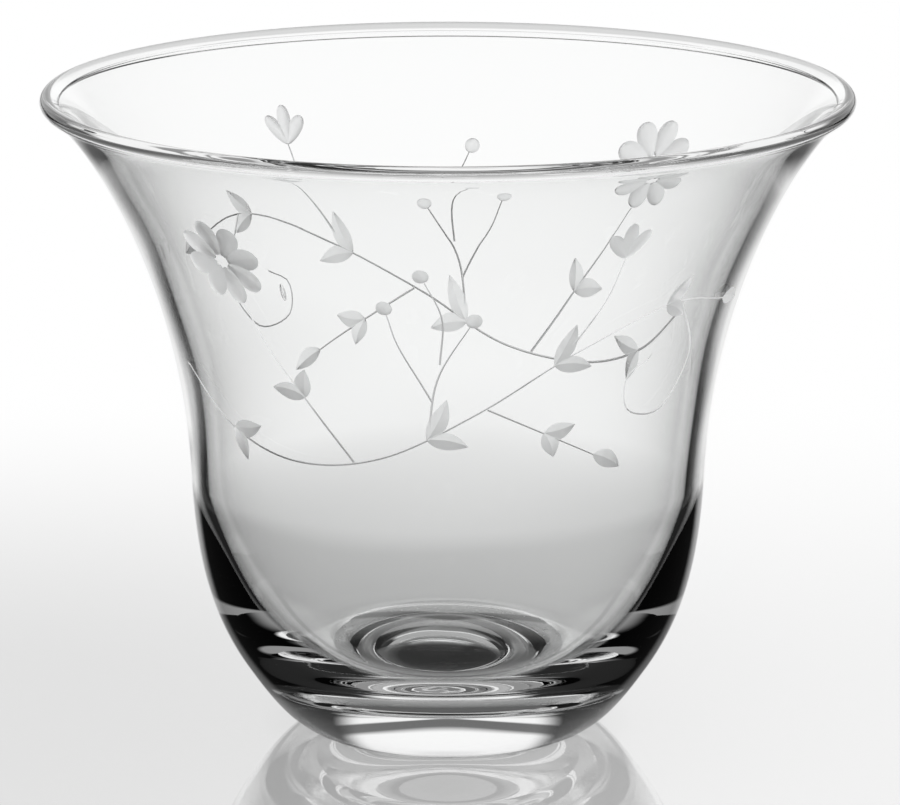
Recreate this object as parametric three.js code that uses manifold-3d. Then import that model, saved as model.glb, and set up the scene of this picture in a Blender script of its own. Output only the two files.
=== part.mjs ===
// A votive candle holder: one piece of clear blown glass, wide at the rim and drawn in at the waist,
// with a heavy base and a small foot, which is ground to a flat ring and arches up inside it
// round a polished hollow.
// Millimetres, +Z up, with the origin on the table under the middle of the foot.

import * as THREE from "three";
import { mergeVertices } from "three/addons/utils/BufferGeometryUtils.js";
import Module from "manifold-3d";

// The rim: its outer diameter, its height, and the angle of the flare above level
const rimDiameter = 102;
const rimHeight = 82;
const flareAngle = 37;

// The waist, where the side stands nearly upright
const waistDiameter = 65;
const waistHeight = 32.5;
const waistAngle = 87.5;

// The heel, where the side turns in towards the foot
const heelDiameter = 51.7;
const heelHeight = 8.5;
const heelAngle = 55.5;

// The flat ring that the holder stands on, and the angle at which the heel leaves it
const footDiameter = 34.4;
const footInnerDiameter = 26.6;
const footAngle = 18;

// How far each curve of the side keeps to the tangent at its ends
const footPull = 3.6;
const heelPullDown = 4.8;
const heelPullUp = 7.2;
const waistPullDown = 11;
const waistPullUp = 27;
const flarePull = 4;

// The wall under the rim and at the waist, and how far the rim's bead swells past it
const flareWall = 1.5;
const waistWall = 2.2;
const beadSwell = 0.2;

// The well inside: its lowest ring, the height that its floor swells to in the middle,
// and how far its curves keep to their tangents
const wellRingDiameter = 31;
const wellRingHeight = 8.6;
const wellMiddleHeight = 9.6;
const wellWaistPull = 12;
const wellCornerPull = 7.8;
const wellFloorPull = 4;

// The arch inside the foot's flat ring: how steeply it leaves the ring, how high it stands
// at the polished hollow, and how steeply it comes down to that
const archAngle = 33;
const archPull = 1.9;
const archHeight = 0.9;
const archFall = 16;
const archFallPull = 1.7;

// The hollow that is ground and polished into the arch, a little off the middle
const pontilDiameter = 17;
const pontilDepth = 2;
const pontilOffset = -1;

// The steps along each curve, round the bead, across the hollow and round the holder
const archSteps = 4;
const footSteps = 5;
const sideSteps = 8;
const bellSteps = 11;
const beadSteps = 10;
const wellSteps = 14;
const floorSteps = 4;
const pontilSteps = 6;
const turnSteps = 60;

// How far the grinding ball reaches out below the foot
const cutMargin = 1;

// How near two vertices lie to be one
const mergeDistance = 1e-4;

const glass = new THREE.MeshStandardMaterial({
  color: 0xf4f6f5,
  roughness: 0.03,
  metalness: 0,
  transparent: true,
  opacity: 0.35,
});

// The point at a distance and an angle in degrees from another point
function along(point, degrees, distance) {
  const angle = THREE.MathUtils.degToRad(degrees);
  const step = new THREE.Vector2(Math.cos(angle), Math.sin(angle));
  return point.clone().addScaledVector(step, distance);
}

// The curve that leaves one point at an angle and reaches the next one at another
function sweep(from, fromAngle, fromPull, to, toAngle, toPull) {
  const leaving = along(from, fromAngle, fromPull);
  const reaching = along(to, toAngle, -toPull);
  return new THREE.CubicBezierCurve(from, leaving, reaching, to);
}

// The round bead at the rim, and how far to each side of its middle the wall runs into it, in degrees
function rimBead() {
  const radius = flareWall / 2 + beadSwell;
  const centre = new THREE.Vector2(rimDiameter / 2 - radius, rimHeight - radius);
  const halfJoint = THREE.MathUtils.radToDeg(Math.asin(flareWall / 2 / radius));
  return { radius, centre, halfJoint };
}

// The outer side in three curves, from the foot up to the bead
function outerSide(bead) {
  const foot = new THREE.Vector2(footDiameter / 2, 0);
  const heel = new THREE.Vector2(heelDiameter / 2, heelHeight);
  const waist = new THREE.Vector2(waistDiameter / 2, waistHeight);
  const flare = along(bead.centre, flareAngle + 180 + bead.halfJoint, bead.radius);
  return {
    turn: sweep(foot, footAngle, footPull, heel, heelAngle, heelPullDown),
    side: sweep(heel, heelAngle, heelPullUp, waist, waistAngle, waistPullDown),
    bell: sweep(waist, waistAngle, waistPullUp, flare, flareAngle, flarePull),
  };
}

// The points inside a curve, by a wall that changes evenly along it, from its end back to its start
function innerSide(curve, steps, wallAtStart, wallAtEnd) {
  const points = [];
  for (let i = steps; i >= 0; i -= 1) {
    const share = i / steps;
    const tangent = curve.getTangent(share);
    const wall = THREE.MathUtils.lerp(wallAtStart, wallAtEnd, share);
    const inward = new THREE.Vector2(-tangent.y, tangent.x);
    points.push(curve.getPoint(share).addScaledVector(inward, wall));
  }
  return points;
}

// The bead's points between the outer and the inner side, over the top
function beadPoints(bead) {
  const points = [];
  const first = flareAngle - 180 + bead.halfJoint;
  const last = flareAngle + 180 - bead.halfJoint;
  for (let i = 1; i < beadSteps; i += 1) {
    const degrees = THREE.MathUtils.lerp(first, last, i / beadSteps);
    points.push(along(bead.centre, degrees, bead.radius));
  }
  return points;
}

// The well, from the foot of the inner bell by its lowest ring to the middle of its floor
function wellPoints(edge) {
  const ring = new THREE.Vector2(wellRingDiameter / 2, wellRingHeight);
  const middle = new THREE.Vector2(0, wellMiddleHeight);
  const side = sweep(edge, waistAngle + 180, wellWaistPull, ring, 180, wellCornerPull);
  const floor = sweep(ring, 180, wellFloorPull, middle, 180, wellFloorPull);
  return [...side.getPoints(wellSteps), ...floor.getPoints(floorSteps).slice(1)];
}

// The arch, from the polished hollow's edge down to the foot's flat ring
function archPoints() {
  const ring = new THREE.Vector2(footInnerDiameter / 2, 0);
  const edge = new THREE.Vector2(pontilDiameter / 2, archHeight);
  const arch = sweep(ring, 180 - archAngle, archPull, edge, 180 + archFall, archFallPull);
  return arch.getPoints(archSteps).reverse();
}

// Half of the holder's section, from the middle of the foot round to the middle of the well
function sectionPoints() {
  const bead = rimBead();
  const { turn, side, bell } = outerSide(bead);
  const innerBell = innerSide(bell, bellSteps, waistWall, flareWall);
  return [
    new THREE.Vector2(0, archHeight),
    ...archPoints(),
    ...turn.getPoints(footSteps),
    ...side.getPoints(sideSteps).slice(1),
    ...bell.getPoints(bellSteps).slice(1),
    ...beadPoints(bead),
    ...innerBell,
    ...wellPoints(innerBell[innerBell.length - 1]).slice(1),
  ];
}

// The section of the ball that grinds the hollow, cut off level below the foot
function ballPoints() {
  const halfWidth = pontilDiameter / 2;
  const top = archHeight + pontilDepth;
  const ballRadius = (halfWidth ** 2 + pontilDepth ** 2) / (2 * pontilDepth);
  const ballCentre = new THREE.Vector2(0, top - ballRadius);
  const reach = Math.acos((ballRadius - top - cutMargin) / ballRadius);
  const points = [new THREE.Vector2(0, -cutMargin)];
  for (let i = pontilSteps; i >= 0; i -= 1) {
    const degrees = 90 - THREE.MathUtils.radToDeg((reach * i) / pontilSteps);
    points.push(along(ballCentre, degrees, ballRadius));
  }
  return points;
}

// A section turned round the vertical axis
function turned(points) {
  const geometry = new THREE.LatheGeometry(points, turnSteps);
  return geometry.rotateX(Math.PI / 2);
}

// A closed mesh as a solid that can be cut, with its shared vertices merged
function solidOf(wasm, geometry) {
  geometry.deleteAttribute("normal");
  geometry.deleteAttribute("uv");
  const merged = mergeVertices(geometry, mergeDistance);
  const vertProperties = new Float32Array(merged.getAttribute("position").array);
  const triVerts = new Uint32Array(merged.getIndex().array);
  return new wasm.Manifold(new wasm.Mesh({ numProp: 3, vertProperties, triVerts }));
}

function geometryOf(solid) {
  const mesh = solid.getMesh();
  const geometry = new THREE.BufferGeometry();
  geometry.setAttribute("position", new THREE.BufferAttribute(mesh.vertProperties, 3));
  geometry.setIndex(new THREE.BufferAttribute(mesh.triVerts, 1));
  geometry.computeVertexNormals();
  return geometry;
}

// The blown holder with its arch ground hollow
async function glassCup() {
  const wasm = await Module();
  wasm.setup();
  const blown = solidOf(wasm, turned(sectionPoints()));
  const ball = solidOf(wasm, turned(ballPoints()).translate(pontilOffset, 0, 0));
  const cup = new THREE.Mesh(geometryOf(blown.subtract(ball)), glass);
  cup.name = "glass_cup";
  return cup;
}

const holder = new THREE.Group();
holder.name = "votive_candle_holder";
holder.add(await glassCup());

export default holder;
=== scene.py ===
"""A votive candle holder of clear blown glass, with a beaded rim, a heavy base and a cut garland.

Sizes are in millimetres and angles in degrees, and meshes are scaled to metres as they are made.
An azimuth is measured round the holder from its front, which faces -Y, towards +X."""

import math

import bpy
import numpy as np
from mathutils.geometry import delaunay_2d_cdt
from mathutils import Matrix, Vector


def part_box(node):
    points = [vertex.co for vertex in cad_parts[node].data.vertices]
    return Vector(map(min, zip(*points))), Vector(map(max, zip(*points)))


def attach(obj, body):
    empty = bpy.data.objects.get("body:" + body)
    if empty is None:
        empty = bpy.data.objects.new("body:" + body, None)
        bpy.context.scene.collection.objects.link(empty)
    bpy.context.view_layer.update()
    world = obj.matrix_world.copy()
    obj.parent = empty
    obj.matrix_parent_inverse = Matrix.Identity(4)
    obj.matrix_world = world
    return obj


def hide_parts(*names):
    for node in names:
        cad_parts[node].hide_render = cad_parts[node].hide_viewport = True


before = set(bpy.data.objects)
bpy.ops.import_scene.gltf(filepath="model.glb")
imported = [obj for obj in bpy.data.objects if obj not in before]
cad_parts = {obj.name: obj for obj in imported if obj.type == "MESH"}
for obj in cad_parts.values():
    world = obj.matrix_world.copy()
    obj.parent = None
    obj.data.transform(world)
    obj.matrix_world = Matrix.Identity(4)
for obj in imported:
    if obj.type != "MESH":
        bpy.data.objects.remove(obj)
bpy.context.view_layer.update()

MM = 0.001
GLASS_NODE = "glass_cup"

# The outer side: the rim is read from the frame, and the rest are the solid's own sizes
NODE_LOW, NODE_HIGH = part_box(GLASS_NODE)
RIM_RADIUS = round((NODE_HIGH.y - NODE_LOW.y) / 2 / MM)
RIM_HEIGHT = round(NODE_HIGH.z / MM)
FLARE_ANGLE = 37
WAIST = (32.5, 32.5)
WAIST_ANGLE = 87.5
HEEL = (25.85, 8.5)
HEEL_ANGLE = 55.5
FOOT_RADIUS = 17.2
FOOT_ANGLE = 18
FOOT_PULL = 3.6
HEEL_PULL_DOWN = 4.8
HEEL_PULL_UP = 7.2
WAIST_PULL_DOWN = 11
WAIST_PULL_UP = 27
FLARE_PULL = 4

# The walls, the bead, and the well with its lowest ring, from which the floor swells to the middle
FLARE_WALL = 1.5
WAIST_WALL = 2.2
BEAD_SWELL = 0.2
BEAD_LENGTH = 1.0
BEAD_JOINT = 0.3
WELL_RING = (14, 8.25)
WELL_MIDDLE = (0, 9.5)
WELL_WAIST_PULL = 10.3
WELL_CORNER_PULL = 10.2
FLOOR_RISE = 5.4
FLOOR_RING_PULL = 3.5
FLOOR_MIDDLE_PULL = 2.1

# The arch inside the foot's flat ring, and the polished hollow in it
FOOT_INNER_RADIUS = 13.3
ARCH_ANGLE = 33
ARCH_PULL = 1.9
ARCH_HEIGHT = 0.9
ARCH_FALL = 16
ARCH_FALL_PULL = 1.7
PONTIL_RADIUS = 8.5
PONTIL_DEPTH = 2
PONTIL_OFFSET = -1

# How finely the glass is divided: round the holder, along its curves and in the garland's band
TURN_STEPS = 256
TURN_RINGS = 16
SIDE_RINGS = 26
BELL_RINGS = 34
BEAD_RINGS = 20
JOINT_RINGS = 8
WELL_RINGS = 44
FLOOR_RINGS = 14
PONTIL_RINGS = 14
ARCH_RINGS = 12
BAND_STEP = 1.0
GRID_CLEARANCE = 0.45
GRID_BATCH = 2000
SIDE_STEPS = 400

# The band of the outer side that holds the garland, as heights, and the azimuth of its seam
BAND_LOW = 35
BAND_HIGH = 77
SEAM = 90

# The photograph's camera: its place, its tilt below level, its focal length in widths of the picture
CAMERA_X = 0.27
CAMERA_DISTANCE = 725
CAMERA_HEIGHT = 214.6
CAMERA_TILT = 13.41
SENSOR_WIDTH = 36
FOCAL_WIDTHS = 5885 / 900


def direction(degrees):
    """A unit step in the section's plane, at an angle above level."""
    angle = math.radians(degrees)
    return np.array([math.cos(angle), math.sin(angle)])


def sweep(start, start_angle, start_pull, end, end_angle, end_pull):
    """The control points of the curve that leaves one point at an angle and reaches another."""
    start = np.array(start, float)
    end = np.array(end, float)
    leaving = start + start_pull * direction(start_angle)
    reaching = end - end_pull * direction(end_angle)
    return np.stack([start, leaving, reaching, end])


def curve_points(control, shares):
    t = np.asarray(shares, float)[:, None]
    a, b, c, d = control
    return (1 - t) ** 3 * a + 3 * (1 - t) ** 2 * t * b + 3 * (1 - t) * t * t * c + t ** 3 * d


def curve_tangents(control, shares):
    t = np.asarray(shares, float)[:, None]
    a, b, c, d = control
    run = 3 * (1 - t) ** 2 * (b - a) + 6 * (1 - t) * t * (c - b) + 3 * t * t * (d - c)
    return run / np.linalg.norm(run, axis=1)[:, None]


def right_of(tangents):
    """The normals to the right of a path's tangents, which point out of the glass."""
    return np.stack([tangents[:, 1], -tangents[:, 0]], axis=1)


# The section of the glass, as paths with the glass on their left

def bead():
    """The rim's bead: its radius and the middle of its round top."""
    radius = FLARE_WALL / 2 + BEAD_SWELL
    return radius, np.array([RIM_RADIUS - radius, RIM_HEIGHT - radius])


def outer_curves():
    radius, centre = bead()
    below = direction(FLARE_ANGLE - 90)
    flare = centre - (BEAD_LENGTH + BEAD_JOINT) * direction(FLARE_ANGLE) + FLARE_WALL / 2 * below
    foot = (FOOT_RADIUS, 0)
    turn = sweep(foot, FOOT_ANGLE, FOOT_PULL, HEEL, HEEL_ANGLE, HEEL_PULL_DOWN)
    side = sweep(HEEL, HEEL_ANGLE, HEEL_PULL_UP, WAIST, WAIST_ANGLE, WAIST_PULL_DOWN)
    bell = sweep(WAIST, WAIST_ANGLE, WAIST_PULL_UP, flare, FLARE_ANGLE, FLARE_PULL)
    return turn, side, bell


def path_of(control, rings):
    shares = np.linspace(0, 1, rings + 1)
    return curve_points(control, shares), right_of(curve_tangents(control, shares))


def joined(*paths):
    """Paths that run smoothly into each other, as one."""
    points = [paths[0][0]] + [p[1:] for p, n in paths[1:]]
    normals = [paths[0][1]] + [n[1:] for p, n in paths[1:]]
    return np.vstack(points), np.vstack(normals)


def outer_path():
    turn, side, bell = outer_curves()
    return joined(path_of(turn, TURN_RINGS), path_of(side, SIDE_RINGS), path_of(bell, BELL_RINGS))


def bead_side(outward):
    """One side of the bead, from its round top down to the wall, with a soft hollow at their joint."""
    radius, centre = bead()
    back = -direction(FLARE_ANGLE)
    turn = np.linspace(0, math.pi, JOINT_RINGS + 1)
    run = BEAD_LENGTH + BEAD_JOINT * turn / math.pi
    half = radius - BEAD_SWELL * (1 - np.cos(turn)) / 2
    slope = -BEAD_SWELL * np.sin(turn) / 2 * math.pi / BEAD_JOINT
    normals = outward - slope[:, None] * back
    normals /= np.linalg.norm(normals, axis=1)[:, None]
    return centre + run[:, None] * back + half[:, None] * outward, normals


def bead_path():
    """The bead from the outer wall over its round top to the inner wall."""
    radius, centre = bead()
    cap_normals = np.array([direction(FLARE_ANGLE + a) for a in np.linspace(-90, 90, BEAD_RINGS + 1)])
    outer_points, outer_normals = bead_side(direction(FLARE_ANGLE - 90))
    inner_points, inner_normals = bead_side(direction(FLARE_ANGLE + 90))
    points = np.vstack([outer_points[::-1], centre + radius * cap_normals, inner_points])
    return points, np.vstack([outer_normals[::-1], cap_normals, inner_normals])


def inner_at(control, shares, wall_start, wall_end):
    """Points inside a curve, by a wall that changes evenly along it."""
    shares = np.asarray(shares, float)
    wall = wall_start + (wall_end - wall_start) * shares
    inward = -right_of(curve_tangents(control, shares))
    return curve_points(control, shares) + wall[:, None] * inward


def inner_part(control, rings, wall_start, wall_end):
    """One part of the inner side, run down from the curve's end to its start."""
    shares = np.linspace(1, 0, rings + 1)
    nudge = 1e-4
    ahead = inner_at(control, shares - nudge, wall_start, wall_end)
    behind = inner_at(control, shares + nudge, wall_start, wall_end)
    run = ahead - behind
    tangents = run / np.linalg.norm(run, axis=1)[:, None]
    return inner_at(control, shares, wall_start, wall_end), right_of(tangents)


def inner_path():
    """The inner side, from the bead down to the well's lowest ring."""
    bell = outer_curves()[2]
    points, normals = inner_part(bell, BELL_RINGS, WAIST_WALL, FLARE_WALL)
    side = sweep(points[-1], WAIST_ANGLE + 180, WELL_WAIST_PULL, WELL_RING, 180, WELL_CORNER_PULL)
    return joined((points, normals), path_of(side, WELL_RINGS))


def floor_path():
    """The well's floor, from its lowest ring to the middle."""
    floor = sweep(WELL_RING, 180 - FLOOR_RISE, FLOOR_RING_PULL, WELL_MIDDLE, 180, FLOOR_MIDDLE_PULL)
    return path_of(floor, FLOOR_RINGS)


def pontil_ball():
    return (PONTIL_RADIUS ** 2 + PONTIL_DEPTH ** 2) / (2 * PONTIL_DEPTH)


def pontil_path():
    """The polished hollow, from its middle out to its edge."""
    radius = pontil_ball()
    reach = math.degrees(math.asin(PONTIL_RADIUS / radius))
    toward = np.array([direction(90 - a) for a in np.linspace(0, reach, PONTIL_RINGS + 1)])
    centre = np.array([0, ARCH_HEIGHT + PONTIL_DEPTH - radius])
    return centre + radius * toward, -toward


def arch_path():
    """The arch, from the polished hollow's edge down to the flat ring."""
    ring = (FOOT_INNER_RADIUS, 0)
    edge = (PONTIL_RADIUS, ARCH_HEIGHT)
    arch = sweep(ring, 180 - ARCH_ANGLE, ARCH_PULL, edge, 180 + ARCH_FALL, ARCH_FALL_PULL)
    points, normals = path_of(arch, ARCH_RINGS)
    return points[::-1], -normals[::-1]


# The glass as one mesh: rings of vertices, and faces whose corners each have their own normal

class Shell:
    """Vertices in millimetres, and faces with a normal at each corner and a finish."""

    def __init__(self):
        self.vertices = []
        self.count = 0
        self.faces = []
        self.normals = []
        self.finishes = []

    def add(self, points):
        first = self.count
        self.vertices.append(np.asarray(points, float))
        self.count += len(points)
        return np.arange(first, self.count)

    def face(self, corners, normals, finish):
        self.faces.append(tuple(int(c) for c in corners))
        self.normals.extend(tuple(n) for n in normals)
        self.finishes.append(finish)


def azimuths():
    return np.radians(SEAM - 360 + 360 * np.arange(TURN_STEPS) / TURN_STEPS)


def around(radius, height, angle):
    return np.stack([radius * np.sin(angle), -radius * np.cos(angle), height + 0 * angle], axis=-1)


def ring_of(point, normal, offset=0.0, ripple=None, run=0.0):
    """One ring's places and normals, moved sideways and rippled where that is asked."""
    angle = azimuths()
    places = around(point[0], point[1], angle) + np.array([offset, 0, 0])
    normals = around(normal[0], normal[1], angle)
    if ripple is None:
        return places, normals
    step = 1e-3
    height, along, round_it = ripple(angle, run), ripple(angle, run + step), ripple(angle + step, run)
    slope_along = (along - height) / step
    slope_round = (round_it - height) / step / max(point[0], 1.0)
    tangent_along = around(-normal[1], normal[0], angle)
    tangent_round = np.stack([np.cos(angle), np.sin(angle), 0 * angle], axis=-1)
    places = places + height[:, None] * normals
    normals = normals + slope_along[:, None] * tangent_along - slope_round[:, None] * tangent_round
    return places, normals / np.linalg.norm(normals, axis=1)[:, None]


CLEAR = 0
CUT = 1
GROUND = 2


def skin_between(shell, lower, lower_normals, upper, upper_normals, finish=CLEAR):
    """The faces between two rings, or between a ring and the point that closes it."""
    turns = max(len(lower), len(upper))
    for k in range(turns):
        k2 = (k + 1) % turns
        if len(lower) == 1:
            corners = (lower[0], upper[k2], upper[k])
            normals = (lower_normals[0], upper_normals[k2], upper_normals[k])
        elif len(upper) == 1:
            corners = (lower[k], lower[k2], upper[0])
            normals = (lower_normals[k], lower_normals[k2], upper_normals[0])
        else:
            corners = (lower[k], lower[k2], upper[k2], upper[k])
            normals = (lower_normals[k], lower_normals[k2], upper_normals[k2], upper_normals[k])
        shell.face(corners, normals, finish)


def add_path(shell, path, start=None, offsets=None, ripple=None, finish=CLEAR):
    """A path turned round the axis, from an existing ring where one is given. Gives its last ring."""
    points, normals = path
    steps = np.linalg.norm(np.diff(points, axis=0), axis=1)
    runs = np.concatenate([[0], np.cumsum(steps)])
    last = None
    last_normals = None
    for i, (point, normal) in enumerate(zip(points, normals)):
        offset = 0.0 if offsets is None else offsets[i]
        places, ring_normals = ring_of(point, normal, offset, ripple, runs[i])
        if point[0] < 1e-6:
            places = places[:1]
            ring_normals = np.array([[0, 0, normal[1]]])
        if i == 0 and start is not None:
            ring = start
        else:
            ring = shell.add(places)
        if last is not None:
            skin_between(shell, last, last_normals, ring, ring_normals, finish)
        last = ring
        last_normals = ring_normals
    return last


# The garland, drawn on the outer side unrolled: azimuth across, length along the side upwards

class Side:
    """The outer side within the garland's band, by the length along it from its lower edge."""

    def __init__(self):
        points, normals = outer_path()
        fine = [path_of(c, SIDE_STEPS) for c in outer_curves()]
        fine_points, fine_normals = joined(*fine)
        lengths = np.concatenate([[0], np.cumsum(np.linalg.norm(np.diff(fine_points, axis=0), axis=1))])
        rings = points[:, 1]
        self.first = int(np.searchsorted(rings, BAND_LOW))
        self.last = int(np.searchsorted(rings, BAND_HIGH)) - 1
        start = np.interp(points[self.first][1], fine_points[:, 1], lengths)
        self.length = np.interp(points[self.last][1], fine_points[:, 1], lengths) - start
        self.lengths = lengths - start
        self.points = fine_points
        self.normals = fine_normals
        self.scale = WAIST[0]

    def radius(self, v):
        return np.interp(v, self.lengths, self.points[:, 0])

    def height(self, v):
        return np.interp(v, self.lengths, self.points[:, 1])

    def normal(self, v):
        r = np.interp(v, self.lengths, self.normals[:, 0])
        z = np.interp(v, self.lengths, self.normals[:, 1])
        size = np.hypot(r, z)
        return r / size, z / size

    def at_height(self, z):
        return np.interp(z, self.points[:, 1], self.lengths)

    def u_of(self, azimuth):
        """The unrolled place across of an azimuth in degrees, in the seam's own turn."""
        turned = (azimuth - SEAM) % 360 + SEAM - 360
        return math.radians(turned) * self.scale


# The cuts' widths and depths, and how much of its width a stem loses along it
STEM_WIDTH = 0.32
FINE_STEM_WIDTH = 0.28
FINEST_STEM_WIDTH = 0.26
STEM_TAPER = 0.45
STEM_DEPTH = 0.12
LEAF_WIDTH = 2.3
LEAF_DEPTH = 0.3
PETAL_DEPTH = 0.28
BERRY_WIDTH = 2.0
BERRY_DEPTH = 0.22

# A pair's second leaf beside its first, the radius at which a flower's petals start and how much lower
# that ring is than wide, and how much of the round the petals fill
SECOND_LEAF = 0.85
FLOWER_MIDDLE = 0.9
FLOWER_SQUASH = 0.85
PETAL_FILL = 0.95

# How a leaf swells along its length, how narrow a petal starts, and how shallow a cut's thin ends are
LEAF_SWELL = (0.85, 0.9)
PETAL_START = 0.62
END_DEPTH = 0.35

# How a cut is divided: round its outline, and along rows within it, where a slim one has its middle alone
OUTLINE_STEPS = 15
ROW_STEPS = 9
ROW_ENDS = (0.08, 0.92)
ROWS = (-0.55, 0, 0.55)
SLIM_HALF_WIDTH = 0.7
SPLINE_STEPS = 40
STEM_STEP = 1.0


class Cut:
    """One wheel cut: its place on the unrolled side, its direction, length and greatest width."""

    def __init__(self, side, azimuth, height, angle, length, width, kind, depth, bend=0.0):
        self.u = side.u_of(azimuth)
        self.v = side.at_height(height)
        self.stretch = side.scale / side.radius(self.v)
        self.turn = math.radians(angle)
        self.length = length
        self.half_width = width / 2
        self.kind = kind
        self.depth = depth
        self.bend = bend

    def half(self, x):
        """Half the cut's width at a share of its length."""
        t = np.clip(x, 0, 1)
        if self.kind == "leaf":
            return self.half_width * np.sin(math.pi * t ** LEAF_SWELL[0]) ** LEAF_SWELL[1]
        oval = self.half_width * np.sqrt(np.clip(1 - (2 * t - 1) ** 2, 0, 1))
        if self.kind == "petal":
            return oval * (PETAL_START + (1 - PETAL_START) * t)
        return oval

    def middle(self, t):
        return self.bend * 4 * t * (1 - t)

    def plane(self, x, y):
        """Unrolled places of points given along and across the cut, in millimetres."""
        c, s = math.cos(self.turn), math.sin(self.turn)
        return self.u + (x * c - y * s) * self.stretch, self.v + x * s + y * c

    def local(self, u, v):
        c, s = math.cos(self.turn), math.sin(self.turn)
        du = (u - self.u) / self.stretch
        dv = v - self.v
        return du * c + dv * s, -du * s + dv * c

    def depths(self, u, v):
        x, y = self.local(u, v)
        t = x / self.length
        half = np.where((t > 0) & (t < 1), self.half(t), 0)
        across = np.abs(y - self.middle(t)) / np.maximum(half, 1e-6)
        if self.kind == "leaf":
            profile = 1 - across
        else:
            profile = 1 - across ** 2
        share = self.half(t) / self.half_width
        return np.where(across < 1, self.depth * profile * (END_DEPTH + (1 - END_DEPTH) * share), 0)

    def outline(self):
        t = (1 - np.cos(np.linspace(0, math.pi, OUTLINE_STEPS))) / 2
        upper = self.half(t)
        middle = self.middle(t)
        xs = np.concatenate([t, t[-2:0:-1]]) * self.length
        ys = np.concatenate([middle + upper, (middle - upper)[-2:0:-1]])
        return np.stack(self.plane(xs, ys), axis=1)

    def inside(self):
        """Rows of points along the cut, within its outline."""
        t = np.linspace(*ROW_ENDS, ROW_STEPS)
        rows = (0,) if self.half_width < SLIM_HALF_WIDTH else ROWS
        points = []
        for share in rows:
            across = self.middle(t) + share * self.half(t)
            points.append(np.stack(self.plane(t * self.length, across), axis=1))
        return points


class Stem:
    """A fine cut line through places given by azimuth and height."""

    def __init__(self, side, places, width=STEM_WIDTH):
        knots = np.array([(side.u_of(a), side.at_height(z)) for a, z in places])
        self.line = smooth_line(knots, STEM_STEP)
        self.side = side
        self.half_width = width / 2
        run = np.gradient(self.line, axis=0)
        self.stretch = side.scale / side.radius(self.line[:, 1])
        true = run / np.stack([self.stretch, np.ones(len(run))], axis=1)
        true /= np.linalg.norm(true, axis=1)[:, None]
        self.across = np.stack([-true[:, 1] * self.stretch, true[:, 0]], axis=1)
        self.tangents = true
        shares = np.linspace(0, 1, len(self.line))
        self.widths = self.half_width * (1 - STEM_TAPER * shares)

    def at(self, share):
        """The azimuth, the height and the direction in degrees of a place along the stem."""
        place = share * (len(self.line) - 1)
        i = min(int(place), len(self.line) - 2)
        u, v = self.line[i] + (place - i) * (self.line[i + 1] - self.line[i])
        tangent = self.tangents[i]
        azimuth = math.degrees(u / self.side.scale)
        return azimuth, float(self.side.height(v)), math.degrees(math.atan2(tangent[1], tangent[0]))

    def edges(self):
        left = self.line + self.across * self.widths[:, None]
        right = self.line - self.across * self.widths[:, None]
        return left, right

    def depths(self, u, v):
        best = np.zeros(len(u))
        low = self.line.min(axis=0) - 1
        high = self.line.max(axis=0) + 1
        near = (u > low[0]) & (u < high[0]) & (v > low[1]) & (v < high[1])
        if not near.any():
            return best
        points = np.stack([u[near], v[near]], axis=1)
        found = np.zeros(len(points))
        for i in range(len(self.line) - 1):
            scale = np.array([self.stretch[i], 1.0])
            a = self.line[i] / scale
            b = self.line[i + 1] / scale
            p = points / scale
            along = np.clip(((p - a) @ (b - a)) / ((b - a) @ (b - a)), 0, 1)
            away = np.linalg.norm(p - (a + along[:, None] * (b - a)), axis=1)
            width = self.widths[i] + along * (self.widths[i + 1] - self.widths[i])
            found = np.maximum(found, STEM_DEPTH * (1 - away / width))
        best[near] = np.maximum(found, 0)
        return best


def smooth_line(knots, step):
    """A smooth line through the knots, with a point about every step of its length."""
    padded = np.vstack([2 * knots[0] - knots[1], knots, 2 * knots[-1] - knots[-2]])
    dense = []
    for i in range(len(knots) - 1):
        a, b, c, d = padded[i:i + 4]
        t = np.linspace(0, 1, SPLINE_STEPS, endpoint=False)[:, None]
        dense.append(0.5 * (2 * b + (c - a) * t + (2 * a - 5 * b + 4 * c - d) * t ** 2
                            + (3 * b - a - 3 * c + d) * t ** 3))
    dense = np.vstack(dense + [knots[-1:]])
    lengths = np.concatenate([[0], np.cumsum(np.linalg.norm(np.diff(dense, axis=0), axis=1))])
    count = max(int(lengths[-1] / step), 3)
    even = np.linspace(0, lengths[-1], count + 1)
    return np.stack([np.interp(even, lengths, dense[:, i]) for i in range(2)], axis=1)


def leaf(side, azimuth, height, angle, length, bend=0.25):
    return Cut(side, azimuth, height, angle, length, LEAF_WIDTH, "leaf", LEAF_DEPTH, bend)


def leaf_pair(side, stem, share, length, spread=38):
    """Two leaves that leave a stem at the same place, one on each side."""
    azimuth, height, angle = stem.at(share)
    return [leaf(side, azimuth, height, angle + spread, length, bend=-0.3),
            leaf(side, azimuth, height, angle - spread, length * SECOND_LEAF, bend=0.3)]


def tip_leaf(side, stem, length):
    azimuth, height, angle = stem.at(1)
    return leaf(side, azimuth, height, angle, length)


def daisy(side, azimuth, height, petals, size, turn=0):
    """A round flower of equal petals about a small round centre."""
    cuts = []
    scale = math.degrees(1 / side.radius(side.at_height(height)))
    width = 2 * PETAL_FILL * size * math.sin(math.pi / petals)
    for k in range(petals):
        angle = turn + 360 * k / petals
        start_azimuth = azimuth + FLOWER_MIDDLE * math.cos(math.radians(angle)) * scale
        start_height = height + FLOWER_MIDDLE * math.sin(math.radians(angle)) * FLOWER_SQUASH
        cuts.append(Cut(side, start_azimuth, start_height, angle, size, width, "petal", PETAL_DEPTH))
    return cuts


def berry(side, stem):
    azimuth, height, angle = stem.at(1)
    return Cut(side, azimuth, height, angle, BERRY_WIDTH, BERRY_WIDTH, "berry", BERRY_DEPTH)


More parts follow.
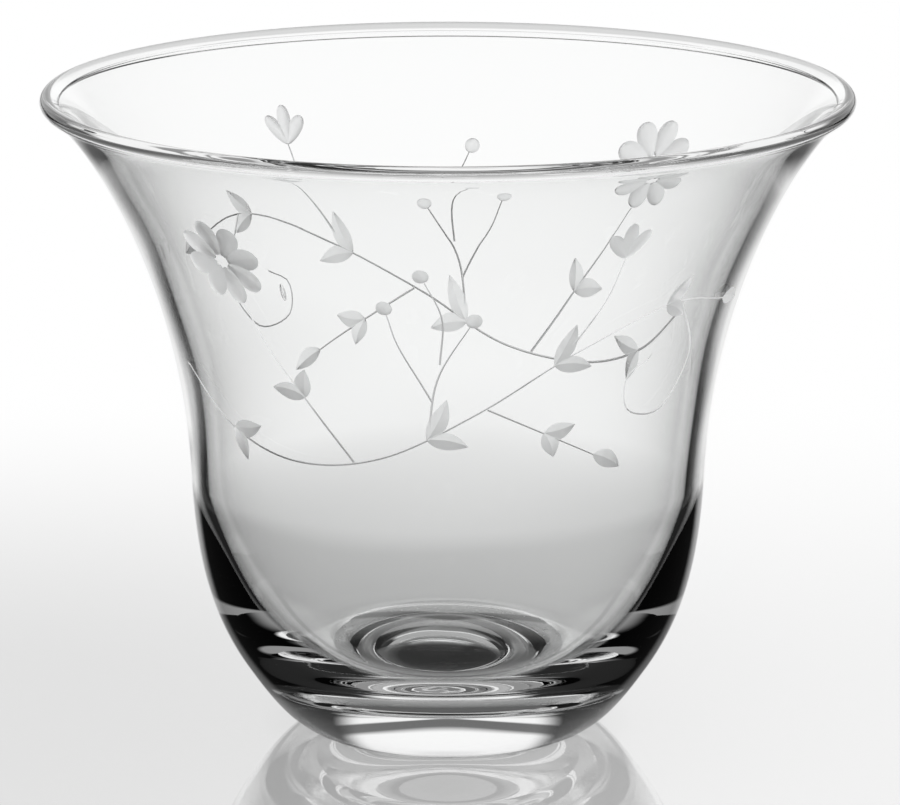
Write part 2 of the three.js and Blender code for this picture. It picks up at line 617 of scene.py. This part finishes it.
def spray(side, middle):
    """One half of the garland, about the azimuth of its middle."""
    def stem(*places, width=STEM_WIDTH):
        return Stem(side, [(middle + a, z) for a, z in places], width)

    main = stem((-66, 50), (-52, 44), (-34, 41), (-14, 42.5), (6, 48.5), (26, 56), (46, 60.5), (64, 59))
    flower_stem = stem((-20, 41.8), (-28, 48), (-36, 55), (-40, 61))
    bud_stem = stem((22, 54.6), (29, 62), (31, 68))
    berry_stem = stem((-4, 45.2), (-2, 53), (4, 60))
    second_berry = stem((-3, 50), (-9, 57), (-11, 61.5), width=FINEST_STEM_WIDTH)
    third_berry = stem((-1.5, 55), (-1, 61), (-4, 66), width=FINEST_STEM_WIDTH)
    curl = stem((48, 60.6), (56, 53), (50, 46.5), (40, 47), (38, 51.5), (43, 53.5),
                width=FINE_STEM_WIDTH)
    low_shoot = stem((8, 49), (20, 45.5), (32, 42), width=FINE_STEM_WIDTH)
    stems = [main, flower_stem, bud_stem, berry_stem, second_berry, third_berry, curl, low_shoot]
    cuts = []
    for share, length in ((0.13, 5.2), (0.47, 6.0), (0.68, 6.0), (0.86, 5.0)):
        cuts += leaf_pair(side, main, share, length)
    cuts += leaf_pair(side, flower_stem, 0.42, 4.6, 44)
    cuts += leaf_pair(side, low_shoot, 0.5, 4.2)
    cuts.append(tip_leaf(side, main, 5.5))
    cuts.append(tip_leaf(side, low_shoot, 4.8))
    cuts += daisy(side, middle - 42, 66.5, 8, 5.2, 12)
    for angle, length in ((62, 4.6), (95, 5.4), (128, 4.6)):
        azimuth, height, _ = bud_stem.at(1)
        cuts.append(Cut(side, azimuth, height, angle, length, LEAF_WIDTH, "petal", PETAL_DEPTH))
    cuts += [berry(side, s) for s in (berry_stem, second_berry, third_berry)]
    return stems, cuts


def depth_of(motifs, u, v):
    """How deep the cuts go at unrolled places, with the deepest one where they overlap."""
    deepest = np.zeros(len(u))
    for motif in motifs:
        deepest = np.maximum(deepest, motif.depths(u, v))
    return deepest


def band_drawing(side, stems, cuts):
    """The points and the fixed edges of the band's flat drawing, its two edge rows first."""
    half_turn = math.pi * side.scale
    first = math.radians(SEAM - 360) * side.scale
    columns = first + 2 * half_turn * np.arange(TURN_STEPS + 1) / TURN_STEPS
    points = [np.stack([columns, np.zeros(len(columns))], axis=1),
              np.stack([columns, np.full(len(columns), side.length)], axis=1)]
    rows = np.linspace(0, side.length, int(side.length / BAND_STEP) + 1)[1:-1]
    for end in (columns[0], columns[-1]):
        points.append(np.stack([np.full(len(rows), end), rows], axis=1))
    edges = []
    count = len(columns)
    edges += [(i, i + 1) for i in range(count - 1)]
    edges += [(count + i, count + i + 1) for i in range(count - 1)]
    for side_index, (low, high) in enumerate(((0, count), (count - 1, 2 * count - 1))):
        start = 2 * count + side_index * len(rows)
        chain = [low] + list(range(start, start + len(rows))) + [high]
        edges += list(zip(chain, chain[1:]))
    total = 2 * count + 2 * len(rows)

    outlines = []
    for cut in cuts:
        outline = cut.outline()
        edges += [(total + i, total + (i + 1) % len(outline)) for i in range(len(outline))]
        points.append(outline)
        total += len(outline)
        outlines.append(outline)
        for row in cut.inside():
            edges += [(total + i, total + i + 1) for i in range(len(row) - 1)]
            points.append(row)
            total += len(row)
    for stem in stems:
        left, right = stem.edges()
        for line in (left, stem.line, right):
            edges += [(total + i, total + i + 1) for i in range(len(line) - 1)]
            points.append(line)
            total += len(line)
        ends = (total - 3 * len(left), total - 2 * len(left), total - len(left))
        edges += [(ends[0], ends[1]), (ends[1], ends[2])]
        size = len(left) - 1
        edges += [(ends[0] + size, ends[1] + size), (ends[1] + size, ends[2] + size)]

    grid_u, grid_v = np.meshgrid(columns[1:-1], rows)
    grid = np.stack([grid_u.ravel(), grid_v.ravel()], axis=1)
    placed = np.vstack(points[4:])
    keep = np.ones(len(grid), bool)
    for i in range(0, len(grid), GRID_BATCH):
        gap = grid[i:i + GRID_BATCH, None, :] - placed[None, :, :]
        keep[i:i + GRID_BATCH] = (gap ** 2).sum(axis=2).min(axis=1) > GRID_CLEARANCE ** 2
    keep &= depth_of(stems + cuts, grid[:, 0], grid[:, 1]) <= 0
    points.append(grid[keep])
    return np.vstack(points), edges, count, len(rows)


def add_band(shell, side, lower_ring, upper_ring):
    """The garland's band between two rings, with the cuts sunk into it."""
    stems = []
    cuts = []
    for middle in (0, 180):
        new_stems, new_cuts = spray(side, middle)
        stems += new_stems
        cuts += new_cuts
    motifs = stems + cuts
    points, edges, count, row_count = band_drawing(side, stems, cuts)
    flat, _, triangles, sources, _, _ = delaunay_2d_cdt(
        [tuple(p) for p in points], edges, [], 0, 1e-5)
    flat = np.array([(p[0], p[1]) for p in flat])
    u, v = flat[:, 0], flat[:, 1]
    depths = depth_of(motifs, u, v)
    normal_r, normal_z = side.normal(v)
    angle = u / side.scale
    normals = around(normal_r, normal_z, angle)
    places = around(side.radius(v), side.height(v), angle) - depths[:, None] * normals

    index = np.full(len(flat), -1)
    right_end = {}
    for new, old in enumerate(sources):
        for i in old:
            if i < count:
                index[new] = lower_ring[i % TURN_STEPS]
            elif i < 2 * count:
                index[new] = upper_ring[(i - count) % TURN_STEPS]
            elif i < 2 * count + row_count:
                right_end[i - 2 * count] = new
    free = index < 0
    for new, old in enumerate(sources):
        for i in old:
            if 2 * count + row_count <= i < 2 * count + 2 * row_count:
                free[new] = False
    index[free] = shell.add(places[free])
    for new, old in enumerate(sources):
        for i in old:
            if 2 * count + row_count <= i < 2 * count + 2 * row_count:
                index[new] = index[right_end[i - 2 * count - row_count]]

    triangles = np.array(triangles)
    middles = flat[triangles].mean(axis=1)
    is_cut = depth_of(motifs, middles[:, 0], middles[:, 1]) > 1e-4
    corners = flat[triangles]
    signed = ((corners[:, 1, 0] - corners[:, 0, 0]) * (corners[:, 2, 1] - corners[:, 0, 1])
              - (corners[:, 2, 0] - corners[:, 0, 0]) * (corners[:, 1, 1] - corners[:, 0, 1]))
    triangles = np.where((signed < 0)[:, None], triangles[:, ::-1], triangles)

    cut_triangles = triangles[is_cut]
    cut_middles = flat[cut_triangles].mean(axis=1)
    inset = 0.35
    near = flat[cut_triangles] * (1 - inset) + cut_middles[:, None, :] * inset
    cut_normals = cut_surface_normals(side, motifs, near.reshape(-1, 2)).reshape(-1, 3, 3)
    place = 0
    for triangle, cut in zip(triangles, is_cut):
        if cut:
            shell.face(index[triangle], cut_normals[place], CUT)
            place += 1
        else:
            shell.face(index[triangle], normals[triangle], CLEAR)


def cut_surface_normals(side, motifs, places):
    """The normals of the sunk surface, from how fast its depth changes across and along."""
    step = 0.01
    u, v = places[:, 0], places[:, 1]
    across = (depth_of(motifs, u + step, v) - depth_of(motifs, u - step, v)) / (2 * step)
    along = (depth_of(motifs, u, v + step) - depth_of(motifs, u, v - step)) / (2 * step)
    across = across * side.scale / side.radius(v)
    angle = u / side.scale
    normal_r, normal_z = side.normal(v)
    normals = around(normal_r, normal_z, angle)
    tangent_round = np.stack([np.cos(angle), np.sin(angle), 0 * angle], axis=-1)
    tangent_along = around(-normal_z, normal_r, angle)
    sunk = normals + across[:, None] * tangent_round + along[:, None] * tangent_along
    return sunk / np.linalg.norm(sunk, axis=1)[:, None]


# The inner side's unevenness: how far from the rim it sets in and ends, and its waves, each with a
# depth, a count round the holder, a length along the side and a start
RIPPLE_ONSET = 12
RIPPLE_END = 84
RIPPLE_FADE = 30
RIPPLE_WAVES = ((0.030, 2, 7, 0.6), (0.022, 3, -5, 2.1), (0.014, 5, 3.4, 4.0))


def blown_ripple(angle, run):
    """The slight unevenness that blowing leaves on the inner side, none at the rim or the well's ring."""
    fade = np.clip(run / RIPPLE_ONSET, 0, 1) * np.clip((RIPPLE_END - run) / RIPPLE_FADE, 0, 1)
    waves = 0
    for depth, count, length, phase in RIPPLE_WAVES:
        waves = waves + depth * np.sin(count * angle + run / length + phase)
    return fade * waves


# The seed bubble: its place, its depth under the outer side, and its half sizes
BUBBLE_AZIMUTH = -30.6
BUBBLE_HEIGHT = 63.5
BUBBLE_DEPTH = 0.85
BUBBLE_HALF_SIZES = (0.25, 0.36, 1.25)
BUBBLE_ROWS = 10
BUBBLE_TURNS = 16


def bubble_axes():
    """The bubble's middle, and its directions outward, sideways and upward along the side."""
    outer = np.vstack([curve_points(c, np.linspace(0, 1, 200)) for c in outer_curves()])
    below, middle, above = np.interp(BUBBLE_HEIGHT + np.array([-1, 0, 1]), outer[:, 1], outer[:, 0])
    slope = math.atan2(above - below, 2)
    azimuth = np.array(math.radians(BUBBLE_AZIMUTH))
    centre = around(np.array(middle - BUBBLE_DEPTH), np.array(BUBBLE_HEIGHT), azimuth)
    outward = around(np.array(math.cos(slope)), np.array(-math.sin(slope)), azimuth)
    upward = around(np.array(math.sin(slope)), np.array(math.cos(slope)), azimuth)
    return centre, np.stack([outward, np.cross(upward, outward), upward])


def add_bubble(shell):
    """A seed bubble: a slim hollow drawn upwards inside the wall, with its normals into the hollow."""
    centre, axes = bubble_axes()
    sizes = np.array(BUBBLE_HALF_SIZES)
    last = None
    for i in range(BUBBLE_ROWS + 1):
        polar = math.pi * i / BUBBLE_ROWS
        inner_row = 0 < i < BUBBLE_ROWS
        angles = 2 * math.pi * np.arange(BUBBLE_TURNS) / BUBBLE_TURNS if inner_row else np.zeros(1)
        unit = np.stack([math.sin(polar) * np.cos(angles), math.sin(polar) * np.sin(angles),
                         math.cos(polar) + 0 * angles], axis=1)
        places = centre + (unit * sizes) @ axes
        normals = -(unit / sizes) @ axes
        normals /= np.linalg.norm(normals, axis=1)[:, None]
        row = (shell.add(places), normals)
        if last is not None:
            skin_between(shell, *last, *row)
        last = row


def glass_shell():
    shell = Shell()
    side = Side()
    points, normals = outer_path()
    pontil_edge = add_path(shell, pontil_path(), offsets=np.full(PONTIL_RINGS + 1, PONTIL_OFFSET))
    arch_edge = add_path(shell, arch_path(), start=pontil_edge,
                         offsets=PONTIL_OFFSET * np.linspace(1, 0, ARCH_RINGS + 1))
    ring_path = (np.array([[FOOT_INNER_RADIUS, 0], [FOOT_RADIUS, 0]]), np.tile([0.0, -1.0], (2, 1)))
    foot = add_path(shell, ring_path, start=arch_edge, finish=GROUND)
    first, last = side.first, side.last
    lower_ring = add_path(shell, (points[:first + 1], normals[:first + 1]), start=foot)
    upper_places, _ = ring_of(points[last], normals[last])
    upper_ring = shell.add(upper_places)
    add_band(shell, side, lower_ring, upper_ring)
    flare = add_path(shell, (points[last:], normals[last:]), start=upper_ring)
    lip = add_path(shell, bead_path(), start=flare)
    well_ring = add_path(shell, inner_path(), start=lip, ripple=blown_ripple)
    add_path(shell, floor_path(), start=well_ring)
    add_bubble(shell)
    return shell


def glass_object(materials):
    shell = glass_shell()
    mesh = bpy.data.meshes.new("blown_glass")
    mesh.from_pydata((np.vstack(shell.vertices) * MM).tolist(), [], shell.faces)
    for material in materials:
        mesh.materials.append(material)
    mesh.polygons.foreach_set("material_index", shell.finishes)
    mesh.polygons.foreach_set("use_smooth", [True] * len(mesh.polygons))
    mesh.update()
    mesh.normals_split_custom_set(shell.normals)
    glass = bpy.data.objects.new("blown_glass", mesh)
    bpy.context.scene.collection.objects.link(glass)
    return glass


# Finishes

def maths(nodes, links, operation, *values):
    node = nodes.new("ShaderNodeMath")
    node.operation = operation
    for i, value in enumerate(values):
        if isinstance(value, (int, float)):
            node.inputs[i].default_value = value
        else:
            links.new(value, node.inputs[i])
    return node.outputs["Value"]


def span(nodes, links, value, limits, start=0, end=1):
    """A smooth change from one value to another while the input runs between two limits."""
    node = nodes.new("ShaderNodeMapRange")
    node.interpolation_type = "SMOOTHSTEP"
    for name, limit in zip(("From Min", "From Max"), limits):
        if isinstance(limit, (int, float)):
            node.inputs[name].default_value = limit
        else:
            links.new(limit, node.inputs[name])
    node.inputs["To Min"].default_value = start
    node.inputs["To Max"].default_value = end
    links.new(value, node.inputs["Value"])
    return node.outputs["Result"]


def span_of(nodes, links, place, limits, start=0, end=1):
    """A smooth change from one value to another while a place runs between limits in millimetres."""
    return span(nodes, links, place, [limit * MM for limit in limits], start, end)


def place_of(nodes, links):
    """The shaded point's place in the scene, by X, Y and Z."""
    geometry = nodes.new("ShaderNodeNewGeometry")
    split = nodes.new("ShaderNodeSeparateXYZ")
    links.new(geometry.outputs["Position"], split.inputs["Vector"])
    return split.outputs


def lerp(nodes, links, share, first, second):
    """One value where the share is 0 and another where it is 1."""
    part = maths(nodes, links, "MULTIPLY", share, maths(nodes, links, "SUBTRACT", second, first))
    return maths(nodes, links, "ADD", first, part)


def fine_marks_group():
    """Shared by the finishes: faint speckle and streaks, as a mask from 0 to 1 and a height."""
    group = bpy.data.node_groups.new("fine_marks", "ShaderNodeTree")
    group.interface.new_socket("Scale", in_out="INPUT", socket_type="NodeSocketFloat")
    group.interface.new_socket("Streaks", in_out="INPUT", socket_type="NodeSocketFloat")
    group.interface.new_socket("Mask", in_out="OUTPUT", socket_type="NodeSocketFloat")
    group.interface.new_socket("Height", in_out="OUTPUT", socket_type="NodeSocketFloat")
    nodes, links = group.nodes, group.links
    inputs = nodes.new("NodeGroupInput")
    outputs = nodes.new("NodeGroupOutput")
    place = nodes.new("ShaderNodeTexCoord")
    stretch = nodes.new("ShaderNodeMapping")
    stretch.inputs["Scale"].default_value = (1, 1, 0.25)
    speckle = nodes.new("ShaderNodeTexNoise")
    speckle.inputs["Detail"].default_value = 4
    streak = nodes.new("ShaderNodeTexNoise")
    streak.inputs["Detail"].default_value = 2
    soft = nodes.new("ShaderNodeMapRange")
    soft.inputs["From Min"].default_value = 0.35
    soft.inputs["From Max"].default_value = 0.7
    mix = nodes.new("ShaderNodeMix")
    links.new(place.outputs["Object"], speckle.inputs["Vector"])
    links.new(place.outputs["Object"], stretch.inputs["Vector"])
    links.new(stretch.outputs["Vector"], streak.inputs["Vector"])
    links.new(inputs.outputs["Scale"], speckle.inputs["Scale"])
    links.new(inputs.outputs["Scale"], streak.inputs["Scale"])
    links.new(inputs.outputs["Streaks"], mix.inputs["Factor"])
    links.new(speckle.outputs["Fac"], mix.inputs["A"])
    links.new(streak.outputs["Fac"], mix.inputs["B"])
    links.new(mix.outputs["Result"], soft.inputs["Value"])
    links.new(soft.outputs["Result"], outputs.inputs["Mask"])
    links.new(mix.outputs["Result"], outputs.inputs["Height"])
    return group


def new_material(name):
    material = bpy.data.materials.new(name)
    material.use_nodes = True
    nodes = material.node_tree.nodes
    return material, nodes, material.node_tree.links, nodes["Principled BSDF"]


GLASS_IOR = 1.52
GLASS_GLOSS = 0.5
MARK_RELIEF = 0.02


def glass_base(name, colour):
    material, nodes, links, surface = new_material(name)
    surface.inputs["Base Color"].default_value = colour
    surface.inputs["Transmission Weight"].default_value = 1
    surface.inputs["IOR"].default_value = GLASS_IOR
    surface.inputs["Specular Tint"].default_value = (GLASS_GLOSS, GLASS_GLOSS, GLASS_GLOSS, 1)
    return material, nodes, links, surface


def add_marks(nodes, links, surface, marks, scale, streaks, rough, bump):
    """Roughness between two values by the marks' mask, and a bump of a given strength."""
    group = nodes.new("ShaderNodeGroup")
    group.node_tree = marks
    group.inputs["Scale"].default_value = scale
    group.inputs["Streaks"].default_value = streaks
    spread = nodes.new("ShaderNodeMapRange")
    spread.inputs["To Min"].default_value = rough[0]
    spread.inputs["To Max"].default_value = rough[1]
    links.new(group.outputs["Mask"], spread.inputs["Value"])
    links.new(spread.outputs["Result"], surface.inputs["Roughness"])
    if bump:
        relief = nodes.new("ShaderNodeBump")
        relief.inputs["Strength"].default_value = bump
        relief.inputs["Distance"].default_value = MARK_RELIEF * MM
        links.new(group.outputs["Height"], relief.inputs["Height"])
        links.new(relief.outputs["Normal"], surface.inputs["Normal"])


# Light that enters at the rim runs down inside the thin wall, reflected many times on its way. A path
# is followed through a few reflections, and after those the glass glows with painted light for what it
# would still carry.
FOLLOWED_REFLECTIONS = 4.5

# In the wall: more of it the more squarely the path meets the glass and the nearer the middle it is,
# and none where it has gone round to the wall's back or stays at the rim's sides
RUNNING_HEIGHTS = (32, 38)
FULL_SQUARENESS = 0.55
LEAST_SQUARENESS = (-0.1, 0.22)
SIDES_FROM = (20, 42)
RIM_SIDES = (38, 43)
RIM_HEIGHTS = (70, 75)
BACK_FROM = (14, 20)
BACK_TO = (33, 38)

# In the heavy base: a little near the middle, and more for a path that runs flat along the glass
BASE_LIGHT = 0.28
BASE_HALF_WIDTH = (4.5, 8)
FLAT_LIGHT = 0.9
FLAT_SQUARENESS = (0.3, 0.41)
FLAT_HALF_WIDTH = (12, 26)
FLAT_SIDE_SHARE = 0.3


def painted_light_in_wall(nodes, links, square, place, off_middle):
    """How much painted glow stands for the light a path still carries where it ends in the thin wall."""
    least = span_of(nodes, links, off_middle, SIDES_FROM, *LEAST_SQUARENESS)
    carried = span(nodes, links, square, (least, FULL_SQUARENESS))
    behind = span_of(nodes, links, place["Y"], BACK_FROM)
    short_of_back = span_of(nodes, links, place["Y"], BACK_TO, 1, 0)
    gone_round = maths(nodes, links, "MULTIPLY", behind, short_of_back)
    aside = span_of(nodes, links, off_middle, RIM_SIDES)
    at_rim = span_of(nodes, links, place["Z"], RIM_HEIGHTS)
    lost = maths(nodes, links, "MAXIMUM", gone_round, maths(nodes, links, "MULTIPLY", aside, at_rim))
    return maths(nodes, links, "MULTIPLY", carried, maths(nodes, links, "SUBTRACT", 1, lost))


def painted_light_in_base(nodes, links, square, off_middle):
    """How much painted glow stands for the light a path still carries where it ends in the heavy base."""
    middle = span_of(nodes, links, off_middle, BASE_HALF_WIDTH, BASE_LIGHT, 0)
    flat = span(nodes, links, square, FLAT_SQUARENESS, FLAT_LIGHT, 0)
    share = span_of(nodes, links, off_middle, FLAT_HALF_WIDTH, 1, FLAT_SIDE_SHARE)
    return maths(nodes, links, "MAXIMUM", middle, maths(nodes, links, "MULTIPLY", flat, share))


def painted_running_light(nodes, links, surface):
    """The painted glow, as emission, that the glass shows to paths which have had all the reflections that
    are followed.
    """
    path = nodes.new("ShaderNodeLightPath")
    weight = nodes.new("ShaderNodeLayerWeight")
    weight.inputs["Blend"].default_value = 0.5
    place = place_of(nodes, links)
    off_middle = maths(nodes, links, "ABSOLUTE", place["X"])
    square = maths(nodes, links, "SUBTRACT", 1, weight.outputs["Facing"])
    in_base = painted_light_in_base(nodes, links, square, off_middle)
    in_wall = painted_light_in_wall(nodes, links, square, place, off_middle)
    height = span_of(nodes, links, place["Z"], RUNNING_HEIGHTS)
    late = maths(nodes, links, "GREATER_THAN", path.outputs["Glossy Depth"], FOLLOWED_REFLECTIONS)
    light = maths(nodes, links, "MULTIPLY", lerp(nodes, links, height, in_base, in_wall), late)
    # Painted glow: the glass emits this light by its place on the holder, though no lamp gives it
    links.new(light, surface.inputs["Emission Color"])
    surface.inputs["Emission Strength"].default_value = 1


def clear_glass(marks):
    material, nodes, links, surface = glass_base("clear_blown_glass", (0.992, 0.996, 0.994, 1))
    add_marks(nodes, links, surface, marks, scale=160, streaks=0.6, rough=(0, 0.012), bump=0)
    painted_running_light(nodes, links, surface)
    return material


def cut_glass(marks):
    material, nodes, links, surface = glass_base("wheel_cut_glass", (0.86, 0.87, 0.87, 1))
    add_marks(nodes, links, surface, marks, scale=2200, streaks=0.5, rough=(0.42, 0.6), bump=0.35)
    painted_running_light(nodes, links, surface)
    return material


def ground_glass(marks):
    material, nodes, links, surface = glass_base("ground_foot_glass", (0.93, 0.94, 0.935, 1))
    add_marks(nodes, links, surface, marks, scale=900, streaks=0.3, rough=(0.08, 0.3), bump=0.2)
    return material


# The table, the light and the camera

FLOOR_HALF = 9.0
FLOOR_DROP = 0.1
FLOOR_GLOW = 0.8
FLOOR_POLISH = 0.4

# Painted shade on the table: none at the back, and darker towards the viewer, most of all on the left
SHADE_FADE_Y = (20, 180)
SHADED_LEFT_TONE = 0.62
SHADED_RIGHT_TONE = 0.84
SHADE_SIDES_X = (-60, 60)

# By distance from the holder's axis: the foot's painted shade on the table, where its polish, left out
# under the foot to keep that shade dark, shows again, and where it turns to a plain mirror for light that
# the glass has reflected
FOOT_SHADE = ((0, 0.02), (7, 0.03), (9.5, 0.2), (13.5, 0.2), (16, 0.6), (18, 0.9), (24, 1))
POLISH_FROM = (12, 18)
MIRROR_FROM = (22, 28)


def tone_ramp(nodes, links, share, tones):
    ramp = nodes.new("ShaderNodeValToRGB")
    stops = ramp.color_ramp.elements
    for i, (reach, tone) in enumerate(tones):
        position = reach / tones[-1][0]
        stop = stops[0] if i == 0 else stops[-1] if i == len(tones) - 1 else stops.new(position)
        stop.position = position
        stop.color = (tone, tone, tone, 1)
    links.new(share, ramp.inputs["Fac"])
    return ramp.outputs["Color"]


def blend(nodes, links, factor, first, second):
    mix = nodes.new("ShaderNodeMixShader")
    if isinstance(factor, (int, float)):
        mix.inputs["Fac"].default_value = factor
    else:
        links.new(factor, mix.inputs["Fac"])
    links.new(first, mix.inputs[1])
    links.new(second, mix.inputs[2])
    return mix.outputs["Shader"]


def table_material():
    """A pale polished table top with painted shade towards the viewer and under the foot, and a plain
    mirror of the studio for light the glass has reflected.
    """
    material = bpy.data.materials.new("pale_table")
    material.use_nodes = True
    nodes, links = material.node_tree.nodes, material.node_tree.links
    nodes.clear()
    output = nodes.new("ShaderNodeOutputMaterial")
    path = nodes.new("ShaderNodeLightPath")
    geometry = nodes.new("ShaderNodeNewGeometry")
    length = nodes.new("ShaderNodeVectorMath")
    length.operation = "LENGTH"
    links.new(geometry.outputs["Position"], length.inputs[0])
    distance = length.outputs["Value"]

    place = place_of(nodes, links)
    # Painted shade: the table's tone falls off towards the viewer and to the left, by place
    near = span_of(nodes, links, place["X"], SHADE_SIDES_X, SHADED_LEFT_TONE, SHADED_RIGHT_TONE)
    back = span_of(nodes, links, place["Y"], SHADE_FADE_Y)
    pale = lerp(nodes, links, back, near, 1)
    # Painted shade under the foot, by distance from the holder's axis
    share = maths(nodes, links, "DIVIDE", distance, FOOT_SHADE[-1][0] * MM)
    tone = maths(nodes, links, "MULTIPLY", pale, tone_ramp(nodes, links, share, FOOT_SHADE))
    glow = nodes.new("ShaderNodeEmission")
    links.new(tone, glow.inputs["Color"])
    matt = nodes.new("ShaderNodeBsdfDiffuse")
    links.new(tone, matt.inputs["Color"])
    polish = nodes.new("ShaderNodeBsdfGlossy")
    polish.inputs["Color"].default_value = (1, 1, 1, 1)
    polish.inputs["Roughness"].default_value = 0
    body = blend(nodes, links, FLOOR_GLOW, matt.outputs["BSDF"], glow.outputs["Emission"])
    # The polish is left out under the foot so that the painted shade there stays dark
    polished = span_of(nodes, links, distance, POLISH_FROM, 0, FLOOR_POLISH)
    surface = blend(nodes, links, polished, body, polish.outputs["BSDF"])

    reflected = maths(nodes, links, "GREATER_THAN", path.outputs["Glossy Depth"], 0.5)
    away = span_of(nodes, links, distance, MIRROR_FROM)
    mirror = maths(nodes, links, "MULTIPLY", reflected, away)
    face = blend(nodes, links, mirror, surface, polish.outputs["BSDF"])
    links.new(face, output.inputs["Surface"])
    return material


def table():
    half = FLOOR_HALF
    drop = -FLOOR_DROP * MM
    mesh = bpy.data.meshes.new("table_top")
    mesh.from_pydata([(-half, -half, drop), (half, -half, drop), (half, half, drop), (-half, half, drop)],
                     [], [(0, 1, 2, 3)])
    mesh.materials.append(table_material())
    top = bpy.data.objects.new("table_top", mesh)
    bpy.context.scene.collection.objects.link(top)
    return top


# The studio above the table: a lit backdrop behind the holder, between a dim foot and a dim top,
# and dark at the sides. Its paleness is given by elevation.
BACKDROP_TONES = ((0, 0.16), (2.5, 0.16), (4.5, 1), (13, 1), (22, 0.25), (60, 0.25), (75, 0.02), (90, 0.02))
BACKDROP_HALF_WIDTH = (20, 31)
STUDIO_DARK = 0.02


def radians(limits):
    return [math.radians(v) for v in limits]


def studio():
    """Plain white, and the lit backdrop for light reflected twice, or once and also bent by glass."""
    world = bpy.data.worlds.new("studio")
    bpy.context.scene.world = world
    world.use_nodes = True
    nodes, links = world.node_tree.nodes, world.node_tree.links
    nodes.clear()
    output = nodes.new("ShaderNodeOutputWorld")
    background = nodes.new("ShaderNodeBackground")
    background.inputs["Color"].default_value = (1, 1, 1, 1)
    place = nodes.new("ShaderNodeTexCoord")
    split = nodes.new("ShaderNodeSeparateXYZ")
    links.new(place.outputs["Generated"], split.inputs["Vector"])
    turn = maths(nodes, links, "ARCTAN2", split.outputs["X"], split.outputs["Y"])
    turn = maths(nodes, links, "ABSOLUTE", turn)
    rise = maths(nodes, links, "ARCSINE", split.outputs["Z"])
    wide = span(nodes, links, turn, radians(BACKDROP_HALF_WIDTH), 1, 0)
    share = maths(nodes, links, "DIVIDE", rise, math.radians(BACKDROP_TONES[-1][0]))
    tone = tone_ramp(nodes, links, share, BACKDROP_TONES)
    path = nodes.new("ShaderNodeLightPath")
    once = maths(nodes, links, "GREATER_THAN", path.outputs["Glossy Depth"], 0.5)
    twice = maths(nodes, links, "GREATER_THAN", path.outputs["Glossy Depth"], 1.5)
    through = maths(nodes, links, "GREATER_THAN", path.outputs["Transmission Depth"], 0.5)
    glossy = maths(nodes, links, "SUBTRACT", 1, path.outputs["Is Diffuse Ray"])
    turned = maths(nodes, links, "MAXIMUM", maths(nodes, links, "MULTIPLY", once, through), twice)
    mirrored = maths(nodes, links, "MULTIPLY", turned, glossy)
    lit = maths(nodes, links, "MAXIMUM", maths(nodes, links, "MULTIPLY", wide, tone), STUDIO_DARK)
    links.new(lerp(nodes, links, mirrored, 1, lit), background.inputs["Strength"])
    links.new(background.outputs["Background"], output.inputs["Surface"])


def camera():
    data = bpy.data.cameras.new("camera")
    data.sensor_width = SENSOR_WIDTH
    data.lens = SENSOR_WIDTH * FOCAL_WIDTHS
    data.clip_start = 0.01
    viewer = bpy.data.objects.new("camera", data)
    bpy.context.scene.collection.objects.link(viewer)
    viewer.location = (CAMERA_X * MM, -CAMERA_DISTANCE * MM, CAMERA_HEIGHT * MM)
    viewer.rotation_euler = (math.radians(90 - CAMERA_TILT), 0, 0)
    bpy.context.scene.camera = viewer


def main():
    bpy.context.scene.view_settings.view_transform = "Standard"
    camera()
    studio()
    table()
    marks = fine_marks_group()
    glass = glass_object([clear_glass(marks), cut_glass(marks), ground_glass(marks)])
    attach(glass, "root")
    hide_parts(GLASS_NODE)


main()
